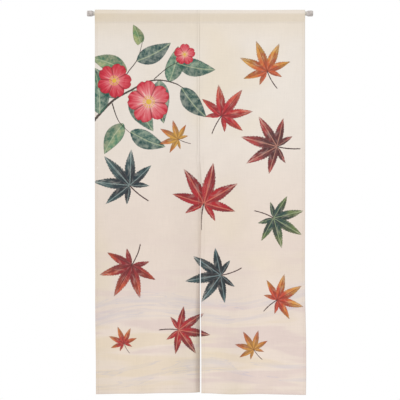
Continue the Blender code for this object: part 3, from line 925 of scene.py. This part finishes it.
def polar(node, place):
    """Distance of a place from its motif's middle, and its angle from upright, plus to the right."""
    axes = node("SeparateXYZ", place)
    level = node("VectorMath MULTIPLY", (place, (1.0, 1.0, 0.0)))
    radius = node("VectorMath LENGTH", level)
    return axes, radius, node("ARCTAN2", (axes.outputs["X"], axes.outputs["Y"]))


def painted_blossoms(node, colour, creep):
    """Blossoms: five notched petals, pale at the heart and deep at the rim, with a ring of stamens."""
    place = node("Attribute", attribute_name="blossom").outputs["Vector"]
    place = node("VectorMath MULTIPLY_ADD", (creep, (0.05, 0.05, 0.0), place))
    flower, radius, angle = polar(node, place)
    turn = node("ADD", (angle, 2.0 * math.pi))
    petal = node("PINGPONG", (turn, math.radians(36.0)))
    petal = node("DIVIDE", (petal, math.radians(36.0)))
    notch = node("MapRange", (petal, 0.0, 0.20, 0.93, 1.0), **SOFT)
    rim = node("MULTIPLY_ADD", (node("POWER", (petal, 2.6)), -0.24, notch))
    inside = node("SUBTRACT", (rim, radius))
    cover = node("MapRange", (inside, -0.018, 0.018, 0.0, 0.97), **SOFT)
    spread = node("MULTIPLY", (angle, 7.0))
    reach = node("MULTIPLY", (radius, 1.6))
    ray_place = node("CombineXYZ", (spread, reach, 3.0))
    rays = node("TexNoise", {"Vector": ray_place, "Scale": 1.0, "Detail": 2.0})
    depth = node("MULTIPLY_ADD", (radius, 0.55, -0.375))
    depth = node("MULTIPLY_ADD", (rays, 0.75, depth))
    depth = node("MULTIPLY_ADD", (flower.outputs["Z"], 0.22, depth))
    bloom = node("ValToRGB", depth, PETAL_REDS)
    fold = node("MapRange", (petal, 0.84, 1.0, 0.0, 0.75), **SOFT)
    outline = node("MapRange", (inside, 0.0, 0.06, 0.55, 0.0), **SOFT)
    dark = node("MAXIMUM", (fold, outline))
    heart = node("MapRange", (radius, 0.10, 0.17, 1.0, 0.0), **SOFT)
    spoke = node("SINE", node("MULTIPLY", (angle, 16.0)))
    spoke = node("MapRange", (spoke, 0.1, 0.6, 0.0, 1.0))
    off_ring = node("ABSOLUTE", node("SUBTRACT", (radius, 0.235)))
    ring = node("MapRange", (off_ring, 0.04, 0.075, 1.0, 0.0), **SOFT)
    stamens = node("MAXIMUM", (heart, node("MULTIPLY", (spoke, ring))))
    for amount, paint in ((dark, "#84121F"), (stamens, "#E2B847")):
        bloom = node("Mix", (amount, bloom, linear(paint)), **COLOUR)
    return node("Mix", (cover, colour, bloom), **COLOUR)


def painted_drift(node, colour, creep, mottle):
    """Drifting leaves: seven saw-edged lobes round a foot, brushed outwards along each lobe.

    A lobe is a leaf blade in its own measure: the place turned back to the nearest of the seven
    middle lines, and divided by the lobe's size, which falls with the square of its turn.
    """
    place = node("Attribute", attribute_name="drifting").outputs["Vector"]
    place = node("VectorMath MULTIPLY_ADD", (creep, (0.030, 0.030, 0.0), place))
    leaf, radius, signed = polar(node, place)
    angle = node("ABSOLUTE", signed)
    lobe = node("PINGPONG", (angle, LOBE_TURN / 2))
    turn = node("POWER", (node("DIVIDE", (angle, 3 * LOBE_TURN)), 2.0))
    size = node("MULTIPLY_ADD", (turn, -0.50, 1.0))
    own = node("DIVIDE", (radius, size))
    along = node("MULTIPLY", (own, node("COSINE", lobe)))
    aside = node("MULTIPLY", (own, node("SINE", lobe)))
    teeth = node("FRACT", node("MULTIPLY", (along, 13.0)))
    widest = node("MULTIPLY_ADD", (teeth, 0.022, 0.136))
    cover, inside = leaf_blade(node, along, aside, widest, 0.010)
    front = node("MapRange", (angle, math.radians(150.0), math.radians(158.0), 1.0, 0.0))
    cover = node("MULTIPLY", (cover, front))

    # Brush hairs: noise drawn out along each lobe, which mixes the colours and lets cloth show.
    apart = node("MULTIPLY", (angle, 9.0))
    hair_side = node("MULTIPLY_ADD", (aside, 42.0, apart))
    hair_run = node("MULTIPLY", (along, 3.5))
    hair_place = node("CombineXYZ", (hair_side, hair_run, 7.0))
    hairs = node("TexNoise", {"Vector": hair_place, "Scale": 1.0, "Detail": 2.0})
    blade, tip, vein_colour = (
        node("Attribute", attribute_name=part + "_colour").outputs["Vector"]
        for part in ("blade", "tip", "vein")
    )
    blend = node("MULTIPLY_ADD", (mottle, 1.1, -0.85))
    blend = node("MULTIPLY_ADD", (hairs, 0.6, blend))
    blend = node("ADD", (blend, radius))
    to_tip = node("MapRange", (blend, 0.25, 0.80, 0.0, 0.90), **SOFT)
    half = node("SINE", node("MULTIPLY", (signed, 2 * math.pi / LOBE_TURN)))
    shaded = node("MapRange", (half, -0.5, 0.7, 0.0, 0.35), **SOFT)
    vein = node("MapRange", (aside, 0.004, 0.020, 0.60, 0.0), **SOFT)
    pooled = node("MapRange", (inside, 0.0, 0.028, 0.42, 0.0), **SOFT)
    for amount, paint in (
        (to_tip, tip), (shaded, linear("#2A1A20")), (vein, vein_colour), (pooled, linear("#241218")),
    ):
        blade = node("Mix", (amount, blade, paint), **COLOUR)
    dry = node("MapRange", (hairs, 0.50, 0.72, 0.0, 0.55), **SOFT)
    dry = node("MULTIPLY", (dry, node("MapRange", (radius, 0.30, 0.95, 0.25, 1.0))))
    strength = node("SUBTRACT", (0.97, dry))
    strength = node("MULTIPLY", (cover, strength))
    colour = node("Mix", (strength, colour, blade), **COLOUR)

    # The stalk: a thin stroke that bends as it leaves the foot.
    sway = node("MULTIPLY", (leaf.outputs["Y"], leaf.outputs["Y"]))
    off_stalk = node("MULTIPLY_ADD", (sway, -0.28, leaf.outputs["X"]))
    off_stalk = node("ABSOLUTE", off_stalk)
    stalk = node("MapRange", (off_stalk, 0.010, 0.022, 0.95, 0.0), **SOFT)
    begins = node("MapRange", (leaf.outputs["Y"], 0.02, -0.02, 0.0, 1.0))
    ends = node("MapRange", (leaf.outputs["Y"], -0.64, -0.60, 0.0, 1.0))
    stalk = node("MULTIPLY", (stalk, node("MULTIPLY", (begins, ends))))
    return node("Mix", (stalk, colour, linear("#3A1B1E")), **COLOUR)


def printed_cloth(name, tone):
    """Plain weave with an ink and watercolour print: uneven yarns, washes, and pigment that pools.

    Nothing on it shines. The print sinks in, so it shows fainter at the back. The weave of 1.6 mm
    is drawn at about twice its real size, and so are the slubs, as they would not show otherwise.
    """
    material, node = new_finish(name)
    flat = node("UVMap", uv_map="cloth").outputs["UV"]
    axes = node("SeparateXYZ", flat)
    s, t = axes.outputs["X"], axes.outputs["Y"]
    sewing_and_shade = node("Attribute", attribute_name="sewing_and_shade").outputs["Vector"]
    sewing_and_shade = node("SeparateXYZ", sewing_and_shade)
    sewn, painted_shade, reverse = (sewing_and_shade.outputs[axis] for axis in "XYZ")

    # Yarns: the weave itself, and slubs along both ways of it.
    warp = node("SINE", node("MULTIPLY", (s, 2 * math.pi / WEAVE)))
    weft = node("SINE", node("MULTIPLY", (t, 2 * math.pi / WEAVE)))
    weave = node("MULTIPLY", (warp, weft))
    slubs = 0.0
    for stretch in ((1 / SLUB_LENGTH, 1 / SLUB_WIDTH, 1.0), (1 / SLUB_WIDTH, 1 / SLUB_LENGTH, 1.0)):
        place = node("VectorMath MULTIPLY", (flat, stretch))
        yarns = node("TexNoise", {"Vector": place, "Scale": 1.0, "Detail": 2.0, "Roughness": 0.6})
        slubs = node("ADD", (slubs, yarns))

    # Edges of the print wander a little, as pigment creeps along the yarns.
    creep = node("TexNoise", {"Vector": flat, "Scale": 180.0, "Detail": 2.0})
    creep = node("VectorMath SUBTRACT", (creep.outputs["Color"], (0.5, 0.5, 0.5)))
    mottle = node("TexNoise", {"Vector": flat, "Scale": 42.0, "Detail": 4.0, "Roughness": 0.62})

    ground, colour = washed_ground(node, flat, s, t)
    colour = painted_leaves(node, colour, creep, mottle, "leaf_behind")
    colour = painted_twigs(node, colour, creep)
    colour = painted_leaves(node, colour, creep, mottle, "leaf_before")
    colour = painted_blossoms(node, colour, creep)
    colour = painted_drift(node, colour, creep, mottle)

    # The back shows the print faintly. Painted shade darkens folds, hems, stitch lines and the doubled
    # pocket.
    faint = node("MULTIPLY", (reverse, 0.70))
    colour = node("Mix", (faint, colour, ground), **COLOUR)
    grain = node("MULTIPLY_ADD", (slubs, 0.07, tone - 0.07))
    cloud = node("TexNoise", {"Vector": flat, "Scale": 5.0, "Detail": 3.0, "Roughness": 0.55})
    shade = node("MULTIPLY_ADD", (cloud, 0.06, -0.03))
    shade = node("ADD", (shade, grain))
    shade = node("MULTIPLY", (shade, node("SUBTRACT", (1.0, painted_shade))))
    colour = node("VectorMath SCALE", (colour, shade))

    puckers = node("TexNoise", {"Vector": flat, "Scale": 140.0, "Detail": 1.0})
    puckers = node("MULTIPLY", (puckers, sewn))
    relief = node("MULTIPLY", (weave, 0.10))
    relief = node("MULTIPLY_ADD", (slubs, 0.55, relief))
    relief = node("MULTIPLY_ADD", (puckers, 1.6, relief))
    surface_bump = node("Bump", {"Height": relief, "Strength": 0.55, "Distance": 0.0005})
    shader = node("BsdfPrincipled", {
        "Base Color": colour, "Roughness": 0.92, "IOR": 1.45, "Specular IOR Level": 0.18,
        "Sheen Weight": 0.08, "Sheen Roughness": 0.6, "Normal": surface_bump,
    })
    node("OutputMaterial", shader)
    return material


cloths = {side: hung_cloth(panel) for side, panel in PANELS.items()}
allowance = seam_allowance(cloths["left"])
sheets = {"left": [cloths["left"], allowance], "right": [cloths["right"]]}
for side, tone in (("left", 0.738), ("right", 0.758)):
    finish = printed_cloth(side + "_printed_cloth", tone)
    cloth_piece(side + "_cloth", sheets[side], finish, side + "_panel")


# Sewing. Cream polyester thread, lockstitched 4 mm to the stitch along the pocket, the hems and the
# felled seam, on both faces of the cloth.
THREAD = "#C6BBA6"
THREAD_RADIUS = 0.00024
STITCH_PITCH = 0.0040
STITCH_LENGTH = 0.0030


def stitch_row(cloth, face, along, fixed, start, end):
    """Start, middle and end of each stitch in a row, and the way out of the cloth there.

    The row runs across the cloth at a set height, or up it at a set distance from the outer edge.
    """
    count = max(int((end - start) / STITCH_PITCH), 1)
    first = start + (np.arange(count) + 0.5) * STITCH_PITCH - STITCH_LENGTH / 2
    both = np.stack([first, first + STITCH_LENGTH / 2, first + STITCH_LENGTH], axis=1)
    held = np.full_like(both, fixed)
    column, height = (both, held) if along == "across" else (held, both)
    rows = np.interp(height, cloth["t"][:, 0], np.arange(len(cloth["t"])))
    places = np.interp(column, cloth["columns"], np.arange(len(cloth["columns"])))
    low_row, low_column = rows.astype(int), places.astype(int)
    low_row = np.minimum(low_row, len(cloth["t"]) - 2)
    low_column = np.minimum(low_column, len(cloth["columns"]) - 2)
    up, over = (rows - low_row)[..., None], (places - low_column)[..., None]

    def between(grid):
        """Values of a grid at the stitches' places, weighted by nearness to the four points around."""
        lower = grid[low_row, low_column] * (1 - over) + grid[low_row, low_column + 1] * over
        upper = grid[low_row + 1, low_column] * (1 - over) + grid[low_row + 1, low_column + 1] * over
        return lower * (1 - up) + upper * up

    outward = between(cloth["normal"]) * (1.0 if face == "front" else -1.0)
    return between(cloth[face]), outward


def thread_piece(name, rows, material):
    """All stitches of some rows as one mesh. Each is a bent five-sided rod of four rings.

    Its middle line is a parabola that leaves the cloth, and its radius falls off at both ends.
    """
    points = np.concatenate([row[0] for row in rows])
    outward = np.concatenate([row[1] for row in rows])
    share = np.array([0.0, 0.30, 0.70, 1.0])
    radius = THREAD_RADIUS * np.array([0.45, 1.0, 1.0, 0.45])
    start, middle, end = points[:, 0], points[:, 1], points[:, 2]
    up = outward[:, 1]
    way = end - start
    way /= np.linalg.norm(way, axis=1, keepdims=True)
    side = np.cross(way, up)
    side /= np.linalg.norm(side, axis=1, keepdims=True)
    rise = THREAD_RADIUS * (3.6 * share * (1.0 - share) - 0.35)
    line = start[:, None] + (end - start)[:, None] * share[None, :, None]
    line = line + up[:, None] * rise[None, :, None]
    angle = np.arange(5) * 2.0 * np.pi / 5
    ring = side[:, None, None] * np.cos(angle)[None, None, :, None]
    ring = ring + up[:, None, None] * np.sin(angle)[None, None, :, None]
    vertices = line[:, :, None] + ring * radius[None, :, None, None]
    count = len(points)
    index = np.arange(20).reshape(4, 5)
    after = np.roll(index, -1, axis=1)
    quads = np.stack([index[:-1], index[1:], after[1:], after[:-1]], axis=2).reshape(-1, 4)
    shift = np.arange(count)[:, None, None] * 20
    sides = (quads[None] + shift).reshape(-1, 4).tolist()
    ends = np.stack([index[0], index[-1][::-1]])
    ends = (ends[None] + shift).reshape(-1, 5).tolist()
    return add_piece(name, vertices.reshape(-1, 3), sides + ends, material, "cloth")


def thread_finish():
    """Spun polyester thread: slightly lustrous, its twist drawn as a fine grain of two tones."""
    material, node = new_finish("spun_thread")
    place = node("TexCoord").outputs["Object"]
    twist = node("TexNoise", {"Vector": place, "Scale": 1400.0, "Detail": 2.0})
    colour = node("ValToRGB", twist, stops=((0.30, "#B3A892"), (0.70, THREAD)))
    bump = node("Bump", {"Height": twist, "Strength": 0.5, "Distance": 0.0001})
    shader = node("BsdfPrincipled", {
        "Base Color": colour, "Roughness": 0.62, "IOR": 1.54, "Normal": bump,
    })
    node("OutputMaterial", shader)
    return material


thread = thread_finish()
for side, cloth in cloths.items():
    width, low = cloth["width"], cloth["t"][0, 0]
    rows = []
    for face in ("front", "back"):
        rows.append(stitch_row(cloth, face, "across", STITCH_Z - 0.0004, 0.004, width - 0.001))
        rows.append(stitch_row(cloth, face, "across", low + BOTTOM_STITCHES, 0.004, width - 0.004))
        rows.append(stitch_row(cloth, face, "up", SIDE_STITCHES, low + 0.004, STITCH_Z - 0.004))
        rows.append(stitch_row(cloth, face, "up", width - SLIT_STITCHES, low + 0.004, SEAM_END_Z))
    if side == "left":
        rows.append(stitch_row(cloth, "front", "up", width - FELL_WIDTH, SEAM_END_Z, STITCH_Z))
        rows.append(stitch_row(allowance, "back", "up", 0.0012, SEAM_END_Z, STITCH_Z - 0.004))
    thread_piece(side + "_thread", rows, thread)


# Studio. A pale floor well below the hem, an even white surround, one large and distant soft lamp
# from the upper left, and a long lens square to the cloth at the height of its middle.
FLOOR_Z = -1.90
VIEW_DISTANCE = 6.0
VIEW_WIDTH = 1.5625
VIEW_CENTRE_Z = -0.7285
SENSOR = 36.0

floor_mesh = bpy.data.meshes.new("studio_floor")
floor_corners = [(-8.0, -8.0, FLOOR_Z), (8.0, -8.0, FLOOR_Z), (8.0, 1.4, FLOOR_Z), (-8.0, 1.4, FLOOR_Z)]
floor_mesh.from_pydata(floor_corners, [], [(0, 1, 2, 3)])
floor_paint, node = new_finish("pale_floor")
shader = node("BsdfPrincipled", {"Base Color": linear("#E8E8E8"), "Roughness": 0.9})
node("OutputMaterial", shader)
floor_mesh.materials.append(floor_paint)
floor = bpy.data.objects.new("studio_floor", floor_mesh)
bpy.context.scene.collection.objects.link(floor)

surround = bpy.data.worlds.new("white_surround")
surround.use_nodes = True
surround.node_tree.nodes["Background"].inputs["Color"].default_value = (1.0, 1.0, 1.0, 1.0)
surround.node_tree.nodes["Background"].inputs["Strength"].default_value = 1.0
bpy.context.scene.world = surround

key = bpy.data.lights.new("soft_lamp", "SUN")
key.angle = math.radians(14.0)
key.energy = 1.60
lamp = bpy.data.objects.new("soft_lamp", key)
aim = np.array([0.62, 0.66, -0.43])
tilt = math.acos(-aim[2] / np.linalg.norm(aim))
lamp.rotation_euler = (tilt, 0.0, math.atan2(aim[1], aim[0]) - math.pi / 2)
bpy.context.scene.collection.objects.link(lamp)

lens = bpy.data.cameras.new("camera")
lens.sensor_width = SENSOR
lens.lens = SENSOR * VIEW_DISTANCE / VIEW_WIDTH
lens.clip_end = 50.0
camera = bpy.data.objects.new("camera", lens)
camera.location = (0.0, -VIEW_DISTANCE, VIEW_CENTRE_Z)
camera.rotation_euler = (math.pi / 2, 0.0, 0.0)
bpy.context.scene.collection.objects.link(camera)
bpy.context.scene.camera = camera
bpy.context.scene.view_settings.view_transform = "Standard"
